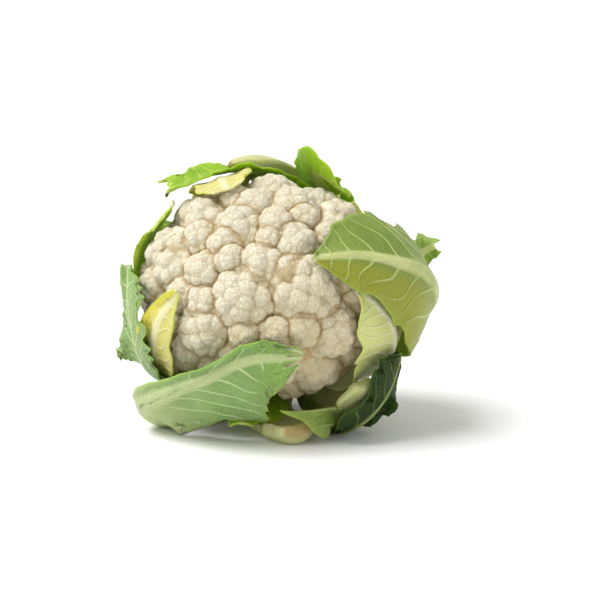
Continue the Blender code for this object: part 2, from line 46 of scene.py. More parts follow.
# The head lies back on its leaves, crown up and to the left of the front.
head = {
    "centre": (-8.3, -9.3, 90),     # mm, middle of the dome
    "rise": 40,                     # degrees that the crown looks up
    "turn": -13,                    # degrees that it looks round to the left
    "dome": (80.5, 74, 62),         # mm, half sizes: side to side, upright, out along the crown
    "core": (66, 60, 50),           # mm, the branches that the florets stand out of
    "coreBack": 56,
    "stalkTop": 48,                 # mm behind the middle, along the crown's axis
    "stalkEnd": 104,
    "stalkTopRadius": 25,
    "stalkEndRadius": 21,
}

centre = np.array(head["centre"]) * mm
dome = np.array(head["dome"]) * mm


def headFrame():
    rise, turn = math.radians(head["rise"]), math.radians(head["turn"])
    axis = Vector((math.sin(turn) * math.cos(rise), -math.cos(turn) * math.cos(rise), math.sin(rise)))
    side = Vector((0, 0, 1)).cross(axis).normalized()
    return np.array([side, axis.cross(side), axis])


headMatrix = headFrame()


def heading(away, around):
    # world direction for degrees away from the crown and degrees around it
    away, around = np.radians(away), np.radians(around)
    own = [np.sin(away) * np.cos(around), np.sin(away) * np.sin(around), np.cos(away)]
    return np.array(own).T @ headMatrix


def reach(directions, halfSizes):
    own = directions @ headMatrix.T
    return 1 / np.sqrt(((own / halfSizes) ** 2).sum(-1))


def unit(vectors):
    return vectors / np.linalg.norm(vectors, axis=-1, keepdims=True)


def smoothStep(value, low, high):
    part = np.clip((value - low) / (high - low), 0, 1)
    return part * part * (3 - 2 * part)


def goldenCap(count, widest):
    # unit directions spread evenly about +Z, out to the angle widest
    order = np.arange(count)
    height = 1 - (1 - math.cos(widest)) * (order + 0.5) / count
    ring = np.sqrt(1 - height**2)
    turn = order * goldenTurn
    return np.stack([ring * np.cos(turn), ring * np.sin(turn), height], axis=-1)


def hashed(cells, seed):
    # three steady random numbers in 0..1 for each whole-number cell
    mixed = (cells * np.array([73856093, 19349663, 83492791])).sum(-1) + seed * 2654435
    out = []
    for step in (12.9898, 78.233, 37.719):
        value = np.sin(mixed.astype(np.float64) % 100003 * step) * 43758.5453
        out.append(value - np.floor(value))
    return np.stack(out, axis=-1)


def pebbles(points, size, seed):
    # distance to the nearest and to the second nearest of scattered seeds, in cell sizes
    scaled = points / size
    cell = np.floor(scaled).astype(np.int64)
    first = np.full(len(points), 9.0)
    second = np.full(len(points), 9.0)
    for i in (-1, 0, 1):
        for j in (-1, 0, 1):
            for k in (-1, 0, 1):
                near = cell + np.array([i, j, k])
                away = np.linalg.norm(near + 0.15 + 0.7 * hashed(near, seed) - scaled, axis=-1)
                second = np.minimum(second, np.maximum(first, away))
                first = np.minimum(first, away)
    return first, second


def gentleNoise(points, size, seed):
    # smooth value noise in -1..1
    scaled = points / size
    cell = np.floor(scaled).astype(np.int64)
    part = scaled - cell
    part = part * part * (3 - 2 * part)
    total = np.zeros(len(points))
    for i in (0, 1):
        for j in (0, 1):
            for k in (0, 1):
                corner = np.array([i, j, k])
                weight = np.where(corner == 1, part, 1 - part).prod(-1)
                total += weight * hashed(cell + corner, seed)[:, 0]
    return total * 2 - 1


def newShader(name, **sockets):
    material = bpy.data.materials.new(name)
    material.use_nodes = True
    shader = material.node_tree.nodes["Principled BSDF"]
    for socket, value in sockets.items():
        shader.inputs[socket].default_value = value
    return material, material.node_tree, shader


def addNode(tree, kind, inputs=(), **settings):
    node = tree.nodes.new(kind)
    for name, value in settings.items():
        setattr(node, name, value)
    for socket, value in dict(inputs).items():
        if isinstance(value, bpy.types.NodeSocket):
            tree.links.new(value, node.inputs[socket])
        else:
            node.inputs[socket].default_value = value
    return node


def attribute(tree, name):
    return addNode(tree, "ShaderNodeAttribute", attribute_name=name).outputs["Fac"]


def mixColour(tree, factor, first, second):
    node = addNode(tree, "ShaderNodeMix", {"Factor": factor}, data_type="RGBA")
    for socket, value in ((node.inputs[6], first), (node.inputs[7], second)):
        if isinstance(value, bpy.types.NodeSocket):
            tree.links.new(value, socket)
        else:
            socket.default_value = (*value, 1)
    return node.outputs[2]


def ramp(tree, factor, low, high):
    node = addNode(
        tree,
        "ShaderNodeMapRange",
        {"Value": factor, "From Min": low, "From Max": high},
        interpolation_type="SMOOTHSTEP",
    )
    return node.outputs["Result"]


def multiply(tree, first, second):
    return addNode(tree, "ShaderNodeMath", {0: first, 1: second}, operation="MULTIPLY").outputs[0]


def add(tree, first, second):
    return addNode(tree, "ShaderNodeMath", {0: first, 1: second}, operation="ADD").outputs[0]


def objectPlace(tree):
    return addNode(tree, "ShaderNodeTexCoord").outputs["Object"]


def noise(tree, place, scale, detail, output="Fac"):
    sockets = {"Vector": place, "Scale": scale, "Detail": detail}
    return addNode(tree, "ShaderNodeTexNoise", sockets).outputs[output]


def bentPlace(tree, place, scale, detail, amount):
    # the place, moved about by noise
    bend = noise(tree, place, scale, detail, "Color")
    bend = addNode(tree, "ShaderNodeVectorMath", {0: bend, 1: amount}, operation="MULTIPLY").outputs[0]
    return addNode(tree, "ShaderNodeVectorMath", {0: place, 1: bend}, operation="ADD").outputs[0]


def fallOff(tree, value, low, high, **settings):
    # 1 up to low and 0 from high on
    sockets = {"Value": value, "From Min": low, "From Max": high, "To Min": 1, "To Max": 0}
    return addNode(tree, "ShaderNodeMapRange", sockets, **settings).outputs["Result"]


def setSurface(tree, shader, colour, height, look, invert=False):
    tree.links.new(colour, shader.inputs["Base Color"])
    sockets = {"Height": height, "Strength": look["bump"], "Distance": look["bumpDepth"]}
    bump = addNode(tree, "ShaderNodeBump", sockets, invert=invert)
    tree.links.new(bump.outputs["Normal"], shader.inputs["Normal"])


curdFinish = {
    "cream": (0.93, 0.885, 0.71),
    "warm": (0.90, 0.84, 0.62),
    # painted shade in the clefts between lobes and between knobs
    "cleft": (0.66, 0.53, 0.31),
    "cleftShadeShare": 0.8,
    # painted shade where florets meet
    "seamShade": (0.52, 0.36, 0.15),
    "seamShadeShare": 0.75,
    "shade": (0.74, 0.62, 0.36),    # painted shade, darker and yellower towards the lower right
    "shadeShare": 0.55,
    # painted shade in the creases between grains, on the outer part of each floret; the same creases also
    # drive the bump
    "crease": (0.46, 0.34, 0.16),
    "creaseShadeShares": (0.24, 0.08),
    "creaseWidth": 0.18,            # as a share of a grain
    "grainScales": (600, 1050),     # grains for each metre
    "grainBend": 0.0011,            # metres
    "body": {
        "Roughness": 0.62,
        "Specular IOR Level": 0.3,
        "Subsurface Weight": 0.08,
        "Subsurface Scale": 0.002,
        "Subsurface Radius": (1.0, 0.6, 0.3),
    },
    "bump": 0.75,
    "bumpDepth": 0.0006,
}


def makeCurdMaterial():
    look = curdFinish
    material, tree, shader = newShader("curd", **look["body"])
    place = objectPlace(tree)
    bent = bentPlace(tree, place, 320, 1, (look["grainBend"],) * 3)
    grainy = attribute(tree, "grainy")
    creases = []
    for scale in look["grainScales"]:
        edge = addNode(
            tree, "ShaderNodeTexVoronoi", {"Vector": bent, "Scale": scale}, feature="DISTANCE_TO_EDGE"
        ).outputs["Distance"]
        crease = fallOff(tree, edge, 0.0, look["creaseWidth"], interpolation_type="SMOOTHSTEP")
        creases.append(multiply(tree, crease, grainy))
    broad = ramp(tree, noise(tree, place, 45, 3), 0.4, 0.75)
    colour = mixColour(tree, broad, look["cream"], look["warm"])
    # painted shade: the lower right, the grain creases, the clefts and where florets meet
    layers = (
        (attribute(tree, "low"), look["shadeShare"], "shade"),
        (creases[0], look["creaseShadeShares"][0], "crease"),
        (creases[1], look["creaseShadeShares"][1], "crease"),
        (attribute(tree, "cleft"), look["cleftShadeShare"], "cleft"),
        (attribute(tree, "beside"), look["seamShadeShare"], "seamShade"),
    )
    for where, share, name in layers:
        colour = mixColour(tree, multiply(tree, where, share), colour, look[name])
    height = add(tree, creases[0], multiply(tree, creases[1], 0.5))
    setSurface(tree, shader, colour, height, look, invert=True)
    return material


leafLook = {
    "roughness": 0.42,
    "specular": 0.35,
    "net": 0.18,                    # how much of the veins' colour the net takes
    "fineNet": 0.6,                 # of that, the finer net's share
    "netBend": 0.0022,              # metres
    "netLines": ((210, 0.015, 0.11), (560, 0.02, 0.16)),    # cells a metre, a line's core and edge
    "patchScale": 34,
    "streakScale": (25, 420, 1),
    "body": {"Subsurface Weight": 0.4, "Subsurface Scale": 0.005, "Subsurface Radius": (0.6, 1.0, 0.2)},
    "bump": 0.35,
    "bumpDepth": 0.0006,
}


def leafNet(tree, uv):
    # the fine net between side veins, drawn along the leaf and bent by noise
    bent = bentPlace(tree, uv, 120, 2, (leafLook["netBend"], leafLook["netBend"], 0))
    lines = []
    for scale, low, high in leafLook["netLines"]:
        edge = addNode(
            tree,
            "ShaderNodeTexVoronoi",
            {"Vector": bent, "Scale": scale, "Randomness": 1.0},
            feature="DISTANCE_TO_EDGE",
            voronoi_dimensions="2D",
        ).outputs["Distance"]
        lines.append(fallOff(tree, edge, low, high))
    return lines


def makeLeafMaterial(name, finish):
    # finish: the blade's outside, inside, patches and rim, its veins and ribs, and where it is cut
    look = {**leafLook, **finish}
    body = {**look["body"], "Roughness": look["roughness"], "Specular IOR Level": look["specular"]}
    material, tree, shader = newShader(name, **body)
    uv = addNode(tree, "ShaderNodeUVMap", uv_map="leafUv").outputs["UV"]
    patches = noise(tree, objectPlace(tree), look["patchScale"], 5)
    coarse, fine = leafNet(tree, uv)
    streakPlace = addNode(tree, "ShaderNodeMapping", {"Vector": uv, "Scale": look["streakScale"]}).outputs[0]
    streak = noise(tree, streakPlace, 5, 3)
    blade = mixColour(tree, attribute(tree, "outside"), look["inside"], look["outside"])
    layers = (
        (ramp(tree, patches, 0.42, 0.68), look["patch"]),
        (attribute(tree, "yellow"), look.get("yellow", look["patch"])),
        (multiply(tree, coarse, look["net"]), look["vein"]),
        (multiply(tree, fine, look["net"] * look["fineNet"]), look["vein"]),
        (ramp(tree, attribute(tree, "vein"), 0.1, 0.9), look["vein"]),
        (attribute(tree, "rim"), look["rim"]),
    )
    for where, tint in layers:
        blade = mixColour(tree, where, blade, tint)
    rib = mixColour(tree, ramp(tree, streak, 0.35, 0.8), look["rib"], look["ribStreak"])
    rib = mixColour(tree, multiply(tree, ramp(tree, patches, 0.5, 0.7), 0.4), rib, look["patch"])
    colour = mixColour(tree, attribute(tree, "rib"), blade, rib)
    cutTints = look.get("cut", look["ribStreak"]), look.get("cutPatch", look["patch"])
    cut = mixColour(tree, ramp(tree, patches, 0.38, 0.66), *cutTints)
    colour = mixColour(tree, attribute(tree, "cutFace"), colour, cut)
    height = add(tree, multiply(tree, coarse, 0.7), multiply(tree, fine, 0.4))
    height = add(tree, height, multiply(tree, streak, 0.5))
    setSurface(tree, shader, colour, height, look)
    return material


leafFinishes = {
    "outerGreen": {
        "outside": (0.185, 0.30, 0.085), "inside": (0.15, 0.29, 0.025),
        "patch": (0.26, 0.38, 0.13), "vein": (0.46, 0.57, 0.28),
        "rib": (0.41, 0.48, 0.20), "ribStreak": (0.52, 0.58, 0.33),
        "rim": (0.25, 0.38, 0.07), "yellow": (0.20, 0.36, 0.03),
        "roughness": 0.5,
    },
    # the torn leaf's dark green, darkened further with painted shade
    "darkGreenPaintedShade": {
        "outside": (0.012, 0.028, 0.002), "inside": (0.018, 0.040, 0.002),
        "patch": (0.024, 0.050, 0.004), "vein": (0.07, 0.12, 0.02),
        "rib": (0.26, 0.32, 0.10), "ribStreak": (0.36, 0.41, 0.18),
        "rim": (0.05, 0.09, 0.01),
        "net": 0.12,
        "roughness": 0.6,
        "specular": 0.18,
    },
    "brightGreen": {
        "outside": (0.19, 0.35, 0.006), "inside": (0.24, 0.41, 0.006),
        "patch": (0.30, 0.46, 0.010), "vein": (0.42, 0.56, 0.08),
        "rib": (0.46, 0.58, 0.12), "ribStreak": (0.56, 0.66, 0.24),
        "rim": (0.32, 0.47, 0.03),
        "net": 0.12,
        "roughness": 0.45,
        "specular": 0.22,
    },
    "wrapGreen": {
        "outside": (0.155, 0.235, 0.032), "inside": (0.19, 0.29, 0.022),
        "patch": (0.22, 0.30, 0.050), "vein": (0.42, 0.48, 0.16),
        "rib": (0.50, 0.53, 0.20), "ribStreak": (0.62, 0.64, 0.34),
        "rim": (0.30, 0.36, 0.06), "yellow": (0.27, 0.285, 0.014),
    },
    "collarGreen": {
        "outside": (0.40, 0.51, 0.07), "inside": (0.50, 0.58, 0.07),
        "patch": (0.52, 0.58, 0.13), "vein": (0.66, 0.68, 0.30),
        "rib": (0.68, 0.68, 0.34), "ribStreak": (0.76, 0.75, 0.48),
        "rim": (0.30, 0.46, 0.03), "yellow": (0.62, 0.58, 0.06),
    },
    "paleInner": {
        "outside": (0.60, 0.56, 0.155), "inside": (0.70, 0.64, 0.14),
        "patch": (0.64, 0.56, 0.22), "vein": (0.72, 0.68, 0.36),
        "rib": (0.70, 0.65, 0.36), "ribStreak": (0.78, 0.74, 0.50),
        "rim": (0.42, 0.52, 0.05), "yellow": (0.70, 0.60, 0.05),
        "net": 0.14,
    },
    "palestGreen": {
        "outside": (0.62, 0.67, 0.24), "inside": (0.68, 0.71, 0.24),
        "patch": (0.60, 0.63, 0.22), "vein": (0.76, 0.78, 0.46),
        "rib": (0.80, 0.81, 0.52), "ribStreak": (0.86, 0.86, 0.62),
        "rim": (0.50, 0.60, 0.12),
        "net": 0.10,
    },
    "stalkPale": {
        "outside": (0.48, 0.50, 0.20), "inside": (0.52, 0.54, 0.24),
        "patch": (0.50, 0.45, 0.17), "vein": (0.64, 0.64, 0.38),
        "rib": (0.52, 0.53, 0.22), "ribStreak": (0.64, 0.62, 0.34),
        "rim": (0.45, 0.40, 0.13), "cut": (0.58, 0.48, 0.22),
        "cutPatch": (0.40, 0.28, 0.09),
        "net": 0.0,
    },
}

curdMaterial = makeCurdMaterial()
leafMaterials = {name: makeLeafMaterial(name, finish) for name, finish in leafFinishes.items()}
print("materials ready:", len(leafMaterials) + 1)


def newPiece(name, bm, material, attributes=None):
    mesh = bpy.data.meshes.new(name)
    bm.to_mesh(mesh)
    bm.free()
    mesh.materials.append(material)
    mesh.shade_smooth()
    for attributeName, values in (attributes or {}).items():
        layer = mesh.attributes.new(attributeName, "FLOAT", "POINT")
        layer.data.foreach_set("value", np.asarray(values, dtype=np.float32))
    obj = bpy.data.objects.new(name, mesh)
    bpy.context.scene.collection.objects.link(obj)
    return obj


def dress(piece, slotName, *nodes):
    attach(piece, "root")
    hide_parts(*nodes)


def moveVertices(bm, points):
    for vertex, point in zip(bm.verts, points):
        vertex.co = point


# Florets as seen from the front, 10 degrees above the table: across, up and radius, in mm.
curd = {
    "sightRise": 10,
    "seen": (
        (-13.5, -9.5, 20.5), (34.5, -3, 23.5), (0.5, 16, 14), (-22, 19, 10), (-42, 11, 13),
        (-64, 14, 15), (25, 31, 15), (30, 48.5, 10), (10, 45, 11.5), (25, 60, 16),
        (-5, 60, 13), (-18, 45, 15.5), (-43, 53, 14), (-45, 35, 11), (-27, 31, 11),
        (56, 50, 14), (49, 36, 12), (-40, -11, 11.5), (-42, -30, 19), (-11, -33, 10),
        (10, -31, 11), (29, -29, 12), (51, -31, 18), (41, -59, 17), (5, 32, 8),
        (-57, 29, 10), (19, 12, 9.5), (-16, -52, 15), (12, -54, 15), (60, 14, 15),
        (52, -56, 14), (63, -42, 13), (39, -73, 13), (66, -28, 12), (20, -70, 12),
        (-4, -70, 12),
    ),
    "fillTries": 110,               # smaller florets that close what is left of the dome
    "fillWidest": 106,
    "fillSmallest": 10.5,
    "fillLargest": 19,
    "capWidest": 108,               # degrees of a floret's ball that carry lobes
    "lobeSize": 5.4,                # mm, half width of a lobe
    "knobSize": 4.2,                # mm between knobs
    "knobHeight": 0.55,
    "swell": 1.09,                  # florets shown this much larger than their CAD balls
    "bend": 0.9,                    # mm that the clefts wander
    "outwardPull": 0.62,            # under 1 draws the mesh's points to the outer side
    "sink": 0.94,                   # of its radius that a floret's middle lies under the dome
    "overlap": 0.72,                # of their radii that fill florets keep from the others
    "lobeCounts": (7, 40),
    "lobeCover": 0.8,
    "lobeJitter": 0.2,
    "lobeSpread": (0.95, 1.35),
    "lobeTops": (0.985, 1.06),      # of the radius
    "wanderSize": 3.2,              # mm
    "bed": 0.84,                    # of the radius, what shows between lobes
    "cleftDepth": 1.1,              # mm
    "seamWidth": 1.1,
    "roughAway": 99,                # degrees from the crown past which a floret is hidden and coarse
    "fineFrom": 15.2,               # mm of radius
    "branchSize": 9,
    "branchDepth": 3.5,
}


def seenHeading(across, up):
    rise = math.radians(curd["sightRise"])
    sight = np.array((0, -math.cos(rise), math.sin(rise)))
    flat = np.array((1, 0, 0)) * across + np.array((0, math.sin(rise), math.cos(rise))) * up
    ownFlat, ownSight = (headMatrix @ flat) / dome, (headMatrix @ sight) / dome
    a, b, c = ownSight @ ownSight, 2 * ownFlat @ ownSight, ownFlat @ ownFlat - 1
    depth = (-b + math.sqrt(max(b * b - 4 * a * c, 0))) / (2 * a)
    return unit(flat + sight * depth)


def floretPlan():
    # every floret as (middle, outward direction, radius), the seen ones first
    plan = []

    def plant(direction, radius):
        middle = direction * (reach(direction, dome) - radius * curd["sink"]) + centre
        plan.append((middle, direction, radius))

    for across, up, radius in curd["seen"]:
        plant(seenHeading(across * mm, up * mm), radius * mm)
    smallest, largest, overlap = curd["fillSmallest"] * mm, curd["fillLargest"] * mm, curd["overlap"]
    for direction in goldenCap(curd["fillTries"], math.radians(curd["fillWidest"])) @ headMatrix:
        spot = direction * (reach(direction, dome) - smallest) + centre
        room = min(np.linalg.norm(spot - middle) - overlap * radius for middle, _, radius in plan)
        if room > smallest * overlap:
            plant(direction, min(room / overlap, largest))
    return plan


def drawOutward(directions, pull):
    # slides points of a unit ball towards +Z without stretching their triangles
    height, down = 1 + directions[:, 2], (1 - directions[:, 2]) * pull**2
    newZ = (height - down) / np.maximum(height + down, 1e-9)
    ring = np.hypot(directions[:, 0], directions[:, 1])
    newRing = np.sqrt(np.clip(1 - newZ**2, 0, 1))
    scale = np.where(ring > 1e-9, newRing / np.maximum(ring, 1e-9), 0)
    return np.stack([directions[:, 0] * scale, directions[:, 1] * scale, newZ], axis=-1)


def bead(first, second):
    # 1 on top of a bead and 0 in the cleft round it
    return 1 - (1 - np.clip((second - first) / 0.62, 0, 1)) ** 2


def floretPoints(index, own, radius):
    # the floret's surface in its own frame, round lobes with knobs on them, how deep in a cleft it
    # is there, which sets its painted shade, and how grainy it is
    rng = np.random.default_rng(700 + index)
    widest = math.radians(curd["capWidest"])
    spread = 2 * (1 - math.cos(widest))
    room = spread * radius**2 / (curd["lobeSize"] * mm) ** 2
    count = int(np.clip(room * curd["lobeCover"], *curd["lobeCounts"]))
    lobeAngle = math.sqrt(spread / count)
    lobes = unit(goldenCap(count, widest) + rng.normal(0, lobeAngle * curd["lobeJitter"], (count, 3)))
    sizes = radius * lobeAngle * rng.uniform(*curd["lobeSpread"], count)
    tops = radius * rng.uniform(*curd["lobeTops"], count)
    at = tops - sizes
    size = curd["wanderSize"] * mm
    wander = [gentleNoise(own * radius, size, index * 5 + axis) for axis in range(3)]
    bent = unit(own + np.stack(wander, axis=-1) * (curd["bend"] * mm / radius))
    cosine = bent @ lobes.T
    hidden = sizes**2 - at**2 * (1 - cosine**2)
    surface = at * cosine + np.sqrt(np.clip(hidden, 0, None))
    surface[(hidden < 0) | (cosine < 0)] = 0
    ranked = np.argsort(surface, axis=1)
    rows = np.arange(len(own))
    best, second = surface[rows, ranked[:, -1]], surface[rows, ranked[:, -2]]
    base = radius * curd["bed"]
    gap = best - np.maximum(second, base)
    cleft = np.clip(1 - gap / (curd["cleftDepth"] * mm), 0, 1) ** 2
    points = own * np.maximum(best, base)[:, None]
    lobeMiddle = lobes[ranked[:, -1]] * at[ranked[:, -1]][:, None]
    normal = np.where((best > base)[:, None], unit(points - lobeMiddle + own * 0.4 * radius), own)
    knob = bead(*pebbles(points, curd["knobSize"] * mm, index * 7 + 1))
    points = points + normal * (curd["knobHeight"] * (knob - 0.9) * mm)[:, None]
    knobCleft = (1 - smoothStep(knob, 0.0, 0.42)) * 0.7
    return points, np.maximum(cleft * 0.95, knobCleft), smoothStep(own[:, 2], -0.1, 0.6)


def floretLevel(direction, radius):
    away = math.degrees(math.acos(np.clip(direction @ headMatrix[2], -1, 1)))
    if away > curd["roughAway"]:
        return 4
    return 6 if radius > curd["fineFrom"] * mm else 5


def lowerRightShade(points):
    # how far a point lies towards the lower right of the curd, where painted shade makes it darker and
    # yellower
    own = (points - centre) @ headMatrix.T
    return smoothStep(own[:, 0] * 0.6 - own[:, 1] * 0.8, 15 * mm, 75 * mm)


def besideNeighbours(points, index):
    # 1 where the surface meets that of another floret, 0 clear of them all: the mask for painted shade where
    # florets meet
    nearest = np.full(len(points), 1.0)
    for other, (middle, _, radius) in enumerate(plan):
        if other != index:
            off = np.linalg.norm(points - middle, axis=-1) - radius * curd["swell"]
            nearest = np.minimum(nearest, off)
    return np.exp(-((nearest / (curd["seamWidth"] * mm)) ** 2))


def makeFloret(index, middle, direction, radius):
    bm = bmesh.new()
    bmesh.ops.create_icosphere(bm, subdivisions=floretLevel(direction, radius), radius=1)
    own = drawOutward(unit(np.array([vertex.co for vertex in bm.verts])), curd["outwardPull"])
    surface, cleft, grainy = floretPoints(index, own, radius * curd["swell"])
    turn = Vector(direction).to_track_quat("Z", "Y").to_matrix() @ Matrix.Rotation(index * 1.7, 3, "Z")
    points = surface @ np.array(turn).T + middle
    moveVertices(bm, points)
    beside = besideNeighbours(points, index)
    attributes = {"cleft": cleft, "beside": beside, "grainy": grainy, "low": lowerRightShade(points)}
    piece = newPiece(f"floret{index:02d}", bm, curdMaterial, attributes)
    dress(piece, "curd", "curd")


def makeCurdCore():
    # the branches seen between the florets and under their outermost ring, all painted dark with the seam
    # shade and half the cleft shade
    bm = bmesh.new()
    bmesh.ops.create_icosphere(bm, subdivisions=6, radius=1)
    own = np.array([vertex.co for vertex in bm.verts])
    sizes = np.array(head["core"]) * mm
    backSizes = np.array((*head["core"][:2], head["coreBack"])) * mm
    points = own * np.where(own[:, 2:] > 0, sizes, backSizes)
    points[:, 2] = np.maximum(points[:, 2], (0.5 - head["stalkTop"]) * mm)
    ridges, _ = pebbles(points, curd["branchSize"] * mm, 5)
    points += unit(points) * ((0.6 - ridges) * curd["branchDepth"] * mm)[:, None]
    points = points @ headMatrix + centre
    moveVertices(bm, points)
    # painted shade over the whole core: full seam shade and half the cleft shade
    flat = {"cleft": 0.5, "beside": 1.0, "grainy": 0.0}
    attributes = {name: np.full(len(own), value) for name, value in flat.items()}
    attributes["low"] = lowerRightShade(points)
    piece = newPiece("branches", bm, curdMaterial, attributes)
    dress(piece, "curd", "curd")


plan = floretPlan()
for index, (middle, direction, radius) in enumerate(plan):
    makeFloret(index, middle, direction, radius)
makeCurdCore()
print("curd grown:", len(plan), "florets")

# Leaves, as in the CAD model: where each starts on the stalk (mm behind the middle, degrees
# around), its midrib's stations (degrees away, degrees around, mm over the dome), half widths
# in mm towards further around (left) and back (right), and the lift of its edges. pale: share of
# its length that is all stalk; palest: where a broken rib turns pale; yellow: side, from, to;
# rag and fray: depth of the cuts in its rim and tip; fit: rows and columns of the CAD leaf.
leafBase = {"inner": 58, "middle": 70.5, "outer": 83}
leafBuild = {
    "edge": 0.7,                    # mm thick at the rim of the blade
    "rib": (9.0, 8.0, 6.0, 4.4, 3.2, 2.4, 1.6),
    "ribHalfWidth": (12, 11, 8.5, 6, 4.5, 3.5, 3),
    "ribShown": (0.35, 0.72),       # share of the rib's height where its pale colour sets in
    "ribSteepness": 1.2,
    "brokenRib": (12, 19),          # mm beside the midrib where a broken rib's pale end stops
    "ribLift": 1.3,
    "rowsPerVein": 10,              # the mesh's rows run along the side veins, crowded at each
    "crowding": 0.78,
    "columns": 42,
    "slant": 1.0,                   # how far a side vein runs along for each mm that it runs out
    "mostSlant": 0.24,              # as a share of the leaf's length
    "veinHeight": 0.7,
    "veinWidth": (0.95, 0.36),      # mm, half width beside the midrib and at the rim
    "quilt": 0.7,                   # mm that the blade swells between veins
    "frill": 4.4,                   # mm that the rim waves outwards
    "fitRows": 14,                  # rows and columns of the CAD leaf that it is fitted to
    "fitColumns": 6,
    "fitCrowding": 1.3,
    "fitEnds": (0.004, 0.996),      # the rays keep this clear of the CAD leaf's ends and rim
    "fitRim": 0.985,
    "fitStart": 4,                  # mm under the formula where a ray starts, and its length
    "fitReach": 40,
    "fineCuts": ((0.05, 6.0, 0), (0.03, 2.6, 3)),   # depth, size in mm and seed
    "notchSize": 6.5,
    "notchEdge": 3.2,
    "fraySize": 2.6,
    "fray": 0.02,
    "frillSizes": (9.0, 4.2),       # mm
    "fineFrill": 0.9,
    "body": 0.6,                    # mm that the blade is thicker away from its rim
    "teeth": 0.07,
    "teethRate": 31,
    "wave": 1.6,
    "waveRate": 19,
    "flarePower": 1.5,
    "leastWidth": 0.8,
    "cutbackFrom": 0.1,
    "cutbackOver": 0.22,
    "cutbackEase": 0.3,
}
